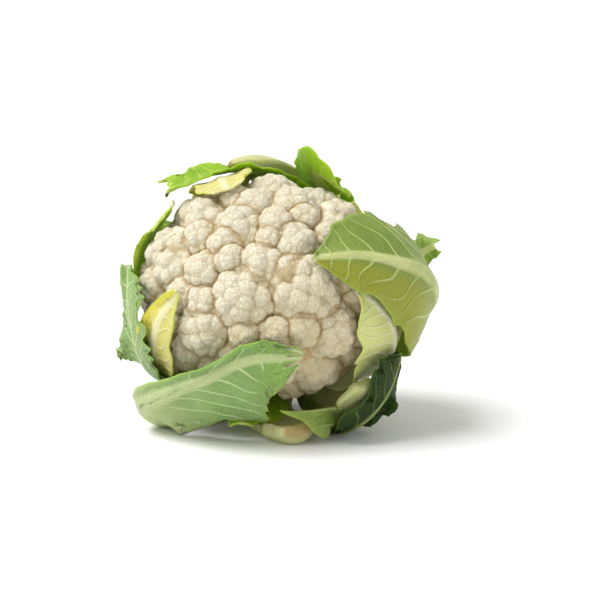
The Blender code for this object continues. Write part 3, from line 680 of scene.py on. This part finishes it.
leaves = (
    {
        "name": "left_inner_leaf", "slot": "inner_leaf", "finish": "paleInner",
        "base": ("inner", 222), "veinGap": 13,
        "path": ((138, 222, 3), (116, 222, 5), (95, 223, 5), (77, 223, 4), (60, 222, 3), (44, 223, 2)),
        "left": (8, 16, 20, 22, 19, 12, 2),
        "right": (8, 16, 20, 18, 14, 10, 2),
        "yellow": (-1, 0.1, 0.9),
    },
    {
        "name": "right_inner_leaf", "slot": "inner_leaf", "finish": "palestGreen",
        "base": ("inner", 326), "veinGap": 12,
        "path": (
            (136, 328, 5), (122, 332, 8), (111, 337, 10), (103, 341, 10), (95, 344, 9),
            (86, 345, 7), (78, 345, 5), (71, 345, 3), (64, 344, 2),
        ),
        "left": (8, 14, 14, 13, 12, 12, 12, 11, 8, 2),
        "right": (8, 16, 23, 30, 33, 33, 29, 22, 13, 2),
        "edges": ((0, 0, 0, 0, 0, 0, 0, 0, 0, 0), (0, 0, -2, -5, -6, -6, -4, -2, 0, 0)),
        "fit": (16, 6),
        "ribHalfWidth": (12, 10, 7, 5, 3.6, 2.8, 2.2),
    },
    {
        "name": "top_inner_leaf", "slot": "inner_leaf", "finish": "paleInner",
        "base": ("inner", 118), "veinGap": 13,
        "path": (
            (136, 119, 4), (113, 120, 4), (95, 120, 4), (79, 119, 4),
            (64, 118, 3), (50, 117, 2.5), (38, 117, 2),
        ),
        "left": (8, 17, 22, 22, 20, 19, 17, 11),
        "right": (8, 17, 22, 22, 20, 19, 17, 11),
        "fit": (14, 6),
    },
    {
        "name": "hidden_inner_leaf", "slot": "inner_leaf", "finish": "paleInner",
        "base": ("inner", 62), "veinGap": 13,
        "path": ((136, 61, 4), (114, 60, 4), (98, 58, 4), (88, 57, 3)),
        "left": (8, 18, 24, 22, 5),
        "right": (8, 18, 24, 22, 5),
        "fit": (12, 6),
    },
    {
        "name": "bottom_leaf", "slot": "green_leaf", "finish": "brightGreen",
        "base": ("inner", 271), "veinGap": 13,
        "path": ((138, 268, 2), (124, 267, 5), (113, 267, 10), (104, 267, 15)),
        "left": (8, 15, 20, 16, 7),
        "right": (8, 15, 20, 16, 7),
        "fit": (12, 6),
    },
    {
        "name": "upper_left_leaf", "slot": "inner_leaf", "finish": "collarGreen",
        "base": ("inner", 170), "veinGap": 14,
        "path": ((136, 170, 4), (112, 169, 3), (94, 167, 3), (80, 162, 3), (70, 154, 3), (61, 147, 4)),
        "left": (8, 17, 25, 29, 27, 17, 3),
        "right": (8, 17, 24, 25, 21, 14, 3),
        "rag": 0.12,
    },
    {
        "name": "cut_petiole", "slot": "petiole", "finish": "stalkPale",
        "base": ("middle", 268), "veinGap": 60,
        "path": ((150, 269, 12), (135, 271, 10), (121, 278, 12), (110, 285, 16), (99, 291, 21)),
        "left": (8, 13, 14, 14, 14, 13),
        "right": (8, 13, 14, 14, 14, 13),
        "rib": (9, 11, 12, 12, 12.5, 12.5),
        "ribHalfWidth": (12, 16, 18, 18, 18, 18),
        "fit": (12, 6),
        "stub": True,
    },
    {
        "name": "lower_right_leaf", "slot": "green_leaf", "finish": "wrapGreen",
        "pale": 0.2,
        "base": ("middle", 309), "veinGap": 15,
        "path": ((140, 311, 14), (124, 311, 17), (111, 313, 17), (102, 316, 15), (95, 320, 13)),
        "left": (8, 16, 17, 15, 12, 9),
        "right": (8, 12, 13, 20, 50, 56),
        "edges": ((0, 0, 0, 0, 0, 0), (0, 0, 0, 0, -4, -8)),
        "rib": (9, 8.5, 8, 8, 8, 7.5),
        "ribHalfWidth": (12, 12, 12, 12, 12, 11.5),
        "cutback": (0, 0.3),
        "fit": (14, 8),
        "palest": (0.64, 0.78),
    },
    {
        "name": "left_leaf", "slot": "outer_leaf", "finish": "outerGreen",
        "pale": 0.3, "slant": 1.1,
        "base": ("middle", 210), "veinGap": 15,
        "path": (
            (140, 212, 14), (120, 215, 13), (106, 217, 12), (95, 214, 10),
            (87, 206, 7), (79, 194, 6), (72, 181, 8),
        ),
        "left": (8, 15, 20, 27, 32, 36, 34, 16),
        "right": (8, 15, 20, 25, 22, 20, 14, 2),
        "edges": ((0, 0, 0, -3, -3, -2, 0, 0), (0, 0, 6, 17, 15, 8, 4, 2)),
        "tipTint": 0.4,
        "rag": 0.26,
    },
    {
        "name": "right_leaf", "slot": "green_leaf", "finish": "wrapGreen",
        "yellow": (-1, 0.05, 0.4), "slant": 0.9,
        "base": ("middle", 14), "veinGap": 19,
        "path": (
            (140, 12, 19), (121, 9, 26), (106, 7, 28), (92, 5, 26), (80, 4, 22), (68, 1, 16),
            (56, 358, 11), (46, 352, 7), (38, 345, 4),
        ),
        "left": (8, 20, 32, 42, 46, 43, 39, 31, 14, 2),
        "right": (8, 20, 31, 40, 43, 38, 29, 21, 13, 2),
        "edges": ((0, 0, 0, -8, -14, -14, -9, -5, -2, 0), (0, 0, -2, -6, -9, -9, -7, -4, -2, 0)),
        "fit": (18, 8),
        "ribHalfWidth": (12, 11, 8.5, 6.5, 4.6, 3.2, 2.4),
        "pale": 0.2,
    },
    {
        "name": "top_left_leaf", "slot": "green_leaf", "finish": "brightGreen",
        "base": ("middle", 104), "veinGap": 14,
        "path": (
            (140, 99, 13), (118, 95, 10), (99, 92, 7), (84, 94, 5),
            (74, 102, 4), (68, 114, 5), (67, 129, 9), (71, 144, 15),
        ),
        "left": (8, 17, 20, 20, 18, 15, 15, 17, 13),
        "right": (8, 17, 20, 20, 18, 14, 13, 14, 11),
        "edges": ((0, 0, 0, 0, 0, 2, 9, 13, 12), (0, 0, 0, 0, -1, -3, -6, -9, -8)),
        "rag": 0.14,
        "fray": 0.06,
    },
    {
        "name": "top_right_leaf", "slot": "green_leaf", "finish": "brightGreen",
        "base": ("middle", 59), "veinGap": 14,
        "path": (
            (142, 65, 15), (120, 68, 14), (101, 71, 13), (88, 73, 11),
            (79, 71, 10), (74, 64, 7), (74, 56, 5), (77, 49, 4),
        ),
        "left": (8, 17, 20, 22, 20, 16, 12, 8, 2),
        "right": (8, 17, 20, 20, 16, 13, 10, 7, 2),
        "edges": ((0, 0, 0, 2, 8, 11, 7, 2, 0), (0, 0, 0, 0, 0, 0, 0, 0, 0)),
        "rag": 0.1,
    },
    {
        "name": "front_leaf", "slot": "outer_leaf", "finish": "outerGreen",
        "pale": 0.47, "slant": 1.7,
        "base": ("outer", 232), "veinGap": 20,
        "path": (
            (146, 234, 24), (127, 233, 27), (111, 230, 30), (99, 230, 27), (90, 236, 19),
            (81, 245, 14), (73, 256, 11), (66, 268, 9), (63, 281, 8), (65, 293, 7), (69, 304, 6),
        ),
        "left": (8, 16, 20, 25, 29, 33, 39, 45, 44, 33, 22, 9),
        "right": (8, 15, 16, 15, 12, 11, 9, 8, 9, 11, 10, 5),
        "fit": (20, 8),
        "rib": (9, 9, 9, 9, 8.5, 7.5, 6, 4.8, 3.8, 3, 2.4, 2),
        "ribHalfWidth": (12, 12, 12, 12, 11, 9, 7, 5.5, 4.5, 4, 3.5, 3),
        "tipTint": 1,
        "rag": 0.06,
        "fray": 0.09,
    },
    {
        "name": "torn_leaf", "slot": "outer_leaf", "finish": "darkGreenPaintedShade",
        "rag": 0.55, "pale": 0.34,
        "base": ("outer", 306), "veinGap": 13,
        "path": (
            (148, 307, 24), (134, 307, 25), (123, 306, 28), (115, 309, 30),
            (109, 316, 30), (106, 325, 27), (105, 334, 22), (104, 342, 18),
        ),
        "left": (8, 15, 14, 11, 12, 17, 20, 17, 6),
        "right": (8, 14, 13, 13, 17, 25, 28, 22, 6),
        "teeth": 0.16,
        "edges": ((0, 0, 0, 2, 4, 6, 7, 5, 2), (0, 0, 0, 0, -4, -9, -12, -9, -2)),
        "fit": (18, 8),
        "fray": 0.12,
    },
    {
        "name": "right_back_leaf", "slot": "green_leaf", "finish": "wrapGreen",
        "rag": 0.3,
        "base": ("outer", 36), "veinGap": 12,
        "path": ((146, 35, 25), (130, 33, 28), (116, 31, 30), (107, 28, 33), (101, 26, 38)),
        "left": (8, 17, 22, 21, 14, 4),
        "right": (8, 17, 22, 21, 14, 4),
        "fit": (12, 6),
    },
    {
        "name": "back_leaf", "slot": "outer_leaf", "finish": "outerGreen",
        "base": ("outer", 146), "veinGap": 16,
        "path": ((146, 146, 24), (126, 147, 22), (108, 149, 20), (96, 151, 18)),
        "left": (8, 20, 27, 25, 6),
        "right": (8, 20, 27, 25, 6),
        "fit": (12, 6),
    },
    {
        "name": "cut_top_petiole", "slot": "petiole", "finish": "stalkPale",
        "base": ("outer", 84), "veinGap": 60,
        "path": ((146, 84, 22), (125, 85, 21), (106, 88, 19), (92, 92, 17), (83, 100, 15), (77, 112, 13)),
        "left": (8, 12, 11, 10, 9, 8, 7),
        "right": (8, 12, 11, 10, 9, 8, 7),
        "rib": (9, 9, 8.5, 8.5, 8, 8, 7.5),
        "ribHalfWidth": (12, 12, 11, 10, 9, 8, 8),
        "stub": True,
    },
)


def through(values, where):
    # smooth curve through evenly spaced values, read at where in 0..1
    values = np.array(values, dtype=float)
    if values.ndim == 1:
        values = values[:, None]
    last = len(values) - 1
    spot = np.clip(where, 0, 1) * last
    low = np.minimum(spot.astype(int), last - 1)
    part = (spot - low)[:, None]
    start, end = values[low], values[low + 1]
    slopeIn = (end - values[np.maximum(low - 1, 0)]) / np.where(low > 0, 2, 1)[:, None]
    slopeOut = (values[np.minimum(low + 2, last)] - start) / np.where(low < last - 1, 2, 1)[:, None]
    squared, cubed = part**2, part**3
    return (
        start * (2 * cubed - 3 * squared + 1)
        + slopeIn * (cubed - 2 * squared + part)
        + end * (3 * squared - 2 * cubed)
        + slopeOut * (cubed - squared)
    )


def level(values, where):
    return through(values, where)[:, 0]


def stalkRadius(depth):
    part = np.clip((depth / mm - head["stalkTop"]) / (head["stalkEnd"] - head["stalkTop"]), 0, 1)
    return (head["stalkTopRadius"] + (head["stalkEndRadius"] - head["stalkTopRadius"]) * part) * mm


def midrib(leaf, where):
    baseName, around = leaf["base"]
    depth = leafBase[baseName] * mm
    ring = float(stalkRadius(depth)) - 0.5 * mm
    turn = math.radians(around)
    points = [np.array((math.cos(turn) * ring, math.sin(turn) * ring, -depth)) @ headMatrix]
    for away, turned, lift in leaf["path"]:
        out = heading(away, turned)
        points.append(out * (reach(out, dome) + lift * mm))
    return through(points, where)


def cutBack(leaf, along, across):
    # one half of the blade may end short of the midrib's tip
    side = np.where(across > 0, 0, 1)
    beside = np.clip((np.abs(across) - leafBuild["cutbackFrom"]) / leafBuild["cutbackOver"], 0, 1)
    share = np.array(leaf.get("cutback", (0, 0)))[side] * beside
    return along * (1 - share * (1 - leafBuild["cutbackEase"] * np.abs(across)))


def halfWidths(leaf, along, across):
    widths = np.where(across > 0, level(leaf["left"], along), level(leaf["right"], along))
    return np.maximum(widths, leafBuild["leastWidth"])


def leafPoints(leaf, along, across, ragged=1.0):
    # inner face about the head's centre; ragged adds the finer cuts of the rim
    side = np.where(across > 0, 0, 1)
    along = cutBack(leaf, along, across)
    rib = midrib(leaf, along)
    course = unit(midrib(leaf, along + 0.01) - midrib(leaf, along - 0.01))
    radius = np.linalg.norm(rib, axis=-1)
    out = rib / radius[:, None]
    sideways = unit(np.cross(course, out))
    tooth = leaf.get("teeth", leafBuild["teeth"]) * np.sin(along * leafBuild["teethRate"] + side * 2)
    teeth = (1 + tooth * np.clip(along * 4 - 1, 0, 1)) * ragged
    turned = across * halfWidths(leaf, along, across) * teeth * mm / radius
    edges = leaf.get("edges", ((0, 0), (0, 0)))
    edge = np.where(side == 0, level(edges[0], along), level(edges[1], along))
    wave = leafBuild["wave"] * np.sin(along * leafBuild["waveRate"] + side * 1.3)
    wave *= np.clip(along * 3 - 1, 0, 1)
    flare = (edge * np.abs(across) ** leafBuild["flarePower"] + wave * across**2) * mm
    direction = out * np.cos(turned)[:, None] + sideways * np.sin(turned)[:, None]
    over = radius - reach(out, dome)
    return direction * (reach(direction, dome) + over + flare)[:, None]


def clearStalk(points):
    own = points @ headMatrix.T
    depth, ring = -own[:, 2], np.hypot(own[:, 0], own[:, 1])
    room = stalkRadius(depth) + 0.3 * mm
    inside = (ring < room) & (depth > (head["stalkTop"] - 5) * mm)
    own[:, :2] *= np.where(inside, room / np.maximum(ring, 1e-6), 1)[:, None]
    return own @ headMatrix


def cadPush(leaf):
    # how far the CAD leaf stands outside the plain formula, on a coarse grid
    rows, columns = leaf.get("fit", (leafBuild["fitRows"], leafBuild["fitColumns"]))
    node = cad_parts[leaf["name"]]
    corners = [vertex.co.copy() for vertex in node.data.vertices]
    tree = BVHTree.FromPolygons(corners, [list(face.vertices) for face in node.data.polygons])
    u, v = np.meshgrid(np.linspace(0, 1, rows + 1), np.linspace(-1, 1, columns + 1), indexing="ij")
    crowded = np.sign(v) * np.abs(v) ** leafBuild["fitCrowding"]
    along, across = np.clip(u, *leafBuild["fitEnds"]).ravel(), crowded.ravel() * leafBuild["fitRim"]
    points = leafPoints(leaf, along, across)
    push = np.full(len(points), np.nan)
    for index, point in enumerate(points):
        out = Vector(point).normalized()
        start = Vector(centre) + out * (np.linalg.norm(point) - leafBuild["fitStart"] * mm)
        hit = tree.ray_cast(start, out, leafBuild["fitReach"] * mm)[0]
        if hit is not None:
            push[index] = (hit - Vector(centre)).length - np.linalg.norm(point)
    push = push.reshape(u.shape)
    for _ in range(rows + columns):
        missing = np.isnan(push)
        if not missing.any():
            break
        wide = np.pad(push, 1, constant_values=np.nan)
        around = [wide[i : i + rows + 1, j : j + columns + 1] for i in range(3) for j in range(3)]
        filled = np.nanmean(np.where(np.isnan(around), np.nan, around), axis=0)
        push = np.where(missing, filled, push)
    return np.nan_to_num(push)


def readGrid(grid, along, across):
    # smooth reading of a coarse grid at finer places
    rows, columns = grid.shape[0] - 1, grid.shape[1] - 1
    v = (np.sign(across) * np.abs(across) ** (1 / leafBuild["fitCrowding"]) + 1) / 2 * columns
    u = along * rows
    i, j = np.clip(u.astype(int), 0, rows - 1), np.clip(v.astype(int), 0, columns - 1)
    a, b = u - i, v - j
    a, b = a * a * (3 - 2 * a), b * b * (3 - 2 * b)
    top = grid[i, j] * (1 - b) + grid[i, j + 1] * b
    low = grid[i + 1, j] * (1 - b) + grid[i + 1, j + 1] * b
    return top * (1 - a) + low * a


def veinRows(leaf, rowShare, across, length, seed):
    # places along the leaf for mesh rows that follow its side veins, and each place's distance
    # from the nearest vein in mm
    count = max(int(round(length / leaf["veinGap"])), 2)
    off = np.abs(across)
    ends = smoothStep(np.minimum(rowShare, 1 - rowShare) * count, 0.0, 2.0)
    offset = np.where(across > 0, 0.0, 0.5) * smoothStep(off, 0.0, 0.12) * ends
    spot = rowShare * count + offset
    part = spot - np.round(spot)
    spot -= leafBuild["crowding"] * np.sin(part * math.tau) / math.tau
    gap = np.abs(spot - np.round(spot)) * length / count
    start = spot / count
    middleWidth = halfWidths(leaf, start, across)
    slant = np.minimum(leaf.get("slant", leafBuild["slant"]) * middleWidth / length, leafBuild["mostSlant"])
    window = np.sin(np.clip(start, 0, 1) * math.pi)
    wander = 0.22 / count * np.sin(off * 5.5 + spot * 1.9 + seed) * smoothStep(off, 0.05, 0.5)
    along = np.clip(start + (slant * off**1.2 + wander) * window, 0, 1)
    return along, gap / math.hypot(1, leaf.get("slant", leafBuild["slant"]) * 0.8)


def rimNoise(along, side, length, size, seed):
    # noise that runs along one rim of the leaf
    points = np.stack([along * length, side * 40.0, np.full(len(along), seed * 7.3)], axis=-1)
    return gentleNoise(points, size, seed)


def ragFactor(leaf, along, side, length, seed):
    # fine cuts in the rim, deep notches on a torn leaf
    cuts = leafBuild["fineCuts"]
    fine = sum(depth * rimNoise(along, side, length, size, seed + more) for depth, size, more in cuts)
    torn = np.abs(rimNoise(along, side, length, leafBuild["notchSize"], seed + 5))
    notch = np.clip(torn * leafBuild["notchEdge"], 0, 1) - 1
    return 1 + (fine + leaf.get("rag", 0.0) * notch) * np.clip(along * 4 - 1, 0, 1)


def bladeOf(leaf, order):
    # the leaf's flat grid, each vertex's place along and across it and distance from the nearest
    # vein, and the midrib's length in mm
    bm = bmesh.new()
    stub = leaf.get("stub", False)
    line = midrib(leaf, np.linspace(0, 1, 60))
    length = np.linalg.norm(np.diff(line, axis=0), axis=1).sum() / mm
    veins = max(int(round(length / leaf["veinGap"])), 2)
    rows = 60 if stub else veins * leafBuild["rowsPerVein"]
    bmesh.ops.create_grid(bm, x_segments=rows, y_segments=leafBuild["columns"], size=1)
    flat = np.array([vertex.co for vertex in bm.verts])
    across = np.sign(flat[:, 1]) * np.abs(flat[:, 1]) ** 1.15
    rowShare = (flat[:, 0] + 1) / 2
    if stub:
        along, gap = rowShare, np.full(len(rowShare), 99.0)
    else:
        along, gap = veinRows(leaf, rowShare, across, length, order)
        torn = 0.5 + 0.5 * rimNoise(across, np.zeros(len(across)), 26.0, leafBuild["fraySize"], order + 23)
        along = along * (1 - leaf.get("fray", leafBuild["fray"]) * torn * smoothStep(along, 0.75, 1.0))
    return bm, along, across, gap, length


def makeLeaf(order, leaf):
    bm, along, across, gap, length = bladeOf(leaf, order)
    stub = leaf.get("stub", False)
    side = np.where(across > 0, 0, 1)
    place = bm.verts.layers.int.new("place")
    outer = bm.verts.layers.int.new("outer")
    for index, vertex in enumerate(bm.verts):
        vertex[place] = index
    shown = cutBack(leaf, along, across)
    widths = halfWidths(leaf, shown, across)
    ragged = np.ones(len(along)) if stub else ragFactor(leaf, shown, side, length, order)
    ended = np.sqrt(np.clip(1 - (np.clip(shown - 0.9, 0, 1) * 8.6) ** 2, 0, 1)) if stub else 1.0
    ragged = 1 + (ragged - 1) * smoothStep(np.abs(across), 0.3, 1.0)
    inner = leafPoints(leaf, along, across, ragged * (0.25 + 0.75 * ended))
    push = readGrid(cadPush(leaf), along, across)
    grown = smoothStep(shown, 0.1, 0.3) * (0 if stub else 1)
    off = np.abs(across) * widths
    ribShape = level(leaf.get("rib", leafBuild["rib"]), shown)
    ribHalf = level(leaf.get("ribHalfWidth", leafBuild["ribHalfWidth"]), shown)
    ribProfile = np.exp(-((off / ribHalf) ** 2) * leafBuild["ribSteepness"])
    nearWidth, farWidth = leafBuild["veinWidth"]
    veinWidth = nearWidth + (farWidth - nearWidth) * np.clip(np.abs(across) * 1.15, 0, 1)
    fade = 1 - smoothStep(np.abs(across), 0.86, 1.0)
    vein = np.exp(-((gap / veinWidth) ** 2)) * fade * grown
    edgeward = np.abs(across) ** 4 * grown
    broadFrill, fineFrill = leafBuild["frillSizes"]
    broad = 0.5 + 0.5 * rimNoise(shown, side, length, broadFrill, order + 11)
    frill = leafBuild["frill"] * broad * edgeward
    frill += leafBuild["fineFrill"] * (1 + rimNoise(shown, side, length, fineFrill, order + 17)) * edgeward
    swell = leafBuild["quilt"] * grown * (1 - ribProfile) * fade * (1 - np.exp(-((gap / 4.0) ** 2)))
    inner = clearStalk(inner + unit(inner) * (push + (frill + swell * 0.4) * mm)[:, None]) + centre
    inner[:, 2] = np.maximum(inner[:, 2], 1.2 * mm)
    moveVertices(bm, inner)
    bm.normal_update()
    normals = np.array([vertex.normal for vertex in bm.verts])
    if ((inner - centre) * normals).sum() < 0:
        normals = -normals
    rim = smoothStep(np.abs(across), 0.9, 1.0)
    raised = leafBuild["veinHeight"] * (0.4 + 0.6 * fade) * vein * (1 - ribProfile)
    thick = leafBuild["edge"] + (ribShape - leafBuild["ribLift"]).clip(0) * ribProfile * ended
    thick = thick + (leafBuild["body"] + raised) * (1 - rim)
    outside = inner + normals * (thick * mm)[:, None]
    outside = clearStalk(outside - centre) + centre
    outside[:, 2] = np.maximum(outside[:, 2], 0)
    lifted = bmesh.ops.extrude_face_region(bm, geom=bm.faces[:])
    for part in lifted["geom"]:
        if isinstance(part, bmesh.types.BMVert):
            part.co = outside[part[place]]
            part[outer] = 1
    bmesh.ops.recalc_face_normals(bm, faces=bm.faces[:])
    bm.verts.index_update()
    places = np.array([vertex[place] for vertex in bm.verts])
    outerFlags = np.array([vertex[outer] for vertex in bm.verts], dtype=float)
    leafUv = bm.loops.layers.uv.new("leafUv")
    uvAt = np.stack([shown * length * mm, across * widths * mm], axis=-1)
    for face in bm.faces:
        for loop in face.loops:
            loop[leafUv].uv = uvAt[loop.vert[place]]
    pale = leaf.get("pale", 0.26)
    paleTip = leaf.get("palest", (2.0, 3.0))
    uneven = 0.06 * rimNoise(shown, across * 3, length, 6.0, order)
    ribness = smoothStep(ribProfile + uneven, *leafBuild["ribShown"])
    ribness = np.maximum(ribness, 1 - smoothStep(shown + 0.04 * np.abs(across), pale * 0.75, pale * 1.25))
    nearRib = 1 - smoothStep(off, *leafBuild["brokenRib"])
    ribness = np.maximum(ribness, smoothStep(shown, *paleTip) * nearRib)
    yellowSide, yellowFrom, yellowTo = leaf.get("yellow", (0, 9.0, 10.0))
    yellow = smoothStep(across * yellowSide, yellowFrom, yellowTo)
    values = {
        "vein": vein,
        "rib": np.ones(len(along)) if stub else ribness,
        "rim": rim * grown * 0.6,
        "yellow": np.maximum(yellow, 0.7 * smoothStep(shown, 0.7, 0.95) * leaf.get("tipTint", 0)) * grown,
        "cutFace": (along > 0.999) * float(stub),
    }
    attributes = {name: value[places] for name, value in values.items()}
    attributes["outside"] = outerFlags
    pieceName = leaf["name"].replace("_", " ").title().replace(" ", "")
    piece = newPiece(pieceName, bm, leafMaterials[leaf["finish"]], attributes)
    dress(piece, leaf["slot"], leaf["name"])


for order, leaf in enumerate(leaves):
    makeLeaf(order, leaf)
print("leaves folded round it:", len(leaves))


stalk = {"segments": 96, "cutRim": 1.6}


def makeStalk():
    bm = bmesh.new()
    length = head["stalkEnd"] - head["stalkTop"] - 0.3
    bmesh.ops.create_cone(
        bm,
        cap_ends=True,
        segments=stalk["segments"],
        radius1=head["stalkEndRadius"] * mm,
        radius2=head["stalkTopRadius"] * mm,
        depth=length * mm,
    )
    cutEnd = min(bm.faces, key=lambda face: face.calc_center_median().z)
    bmesh.ops.inset_region(bm, faces=[cutEnd], thickness=stalk["cutRim"] * mm, use_boundary=True)
    onCut = [vertex in cutEnd.verts for vertex in bm.verts]
    middle = (head["stalkEnd"] + head["stalkTop"] + 0.3) / 2 * mm
    points = np.array([vertex.co for vertex in bm.verts])
    points[:, 2] -= middle
    moveVertices(bm, points @ headMatrix + centre)
    bmesh.ops.recalc_face_normals(bm, faces=bm.faces[:])
    count = len(bm.verts)
    flags = {name: np.zeros(count) for name in ("vein", "rim", "outside", "yellow")}
    flags["cutFace"] = np.array(onCut, dtype=float)
    flags["rib"] = np.ones(count)
    bm.loops.layers.uv.new("leafUv")
    piece = newPiece("stalkEnd", bm, leafMaterials["stalkPale"], flags)
    piece.data.set_sharp_from_angle(angle=math.radians(40))
    dress(piece, "petiole", "stalk")


makeStalk()
print("stalk cut")

# Studio: white floor that rises to a backdrop far off, a soft sun from the upper left, and the
# camera at the photograph's angle.
studio = {
    "camera": (15.0, -904.2, 240.0),
    "pitch": 80,
    "lens": 85,
    "floorSize": 36,                # metres
    "floorGrid": 72,
    "backdropRise": (7, 13),        # metres out from the middle where it starts and ends rising
    "backdropHeight": 3,
    "floor": {"Base Color": (0.9, 0.9, 0.9, 1), "Roughness": 0.75},
    "sunFrom": (-0.62, -0.12, 1.12),
    "sunPower": 2.85,
    "sunWidth": 36,                 # degrees across
    "skyPower": 0.62,
}


def makeStudio():
    bm = bmesh.new()
    cells = studio["floorGrid"]
    bmesh.ops.create_grid(bm, x_segments=cells, y_segments=cells, size=studio["floorSize"] / 2)
    for vertex in bm.verts:
        away = math.hypot(vertex.co.x, vertex.co.y)
        vertex.co.z = studio["backdropHeight"] * float(smoothStep(away, *studio["backdropRise"]))
    material, _, _ = newShader("studioFloor", **studio["floor"])
    floor = newPiece("studioFloor", bm, material)
    sun = bpy.data.lights.new("softSun", "SUN")
    sun.energy = studio["sunPower"]
    sun.angle = math.radians(studio["sunWidth"])
    lamp = bpy.data.objects.new("softSun", sun)
    lamp.rotation_euler = Vector(studio["sunFrom"]).to_track_quat("Z", "Y").to_euler()
    bpy.context.scene.collection.objects.link(lamp)
    world = bpy.data.worlds.new("studioSky")
    world.use_nodes = True
    sky = world.node_tree.nodes["Background"]
    sky.inputs["Color"].default_value = (1, 1, 1, 1)
    sky.inputs["Strength"].default_value = studio["skyPower"]
    bpy.context.scene.world = world
    bpy.context.scene.view_settings.view_transform = "Standard"
    camera = bpy.data.objects.new("photoCamera", bpy.data.cameras.new("photoCamera"))
    camera.data.lens = studio["lens"]
    camera.location = [value * mm for value in studio["camera"]]
    camera.rotation_euler = (math.radians(studio["pitch"]), 0, 0)
    bpy.context.scene.collection.objects.link(camera)
    bpy.context.scene.camera = camera


makeStudio()
print("studio lit")
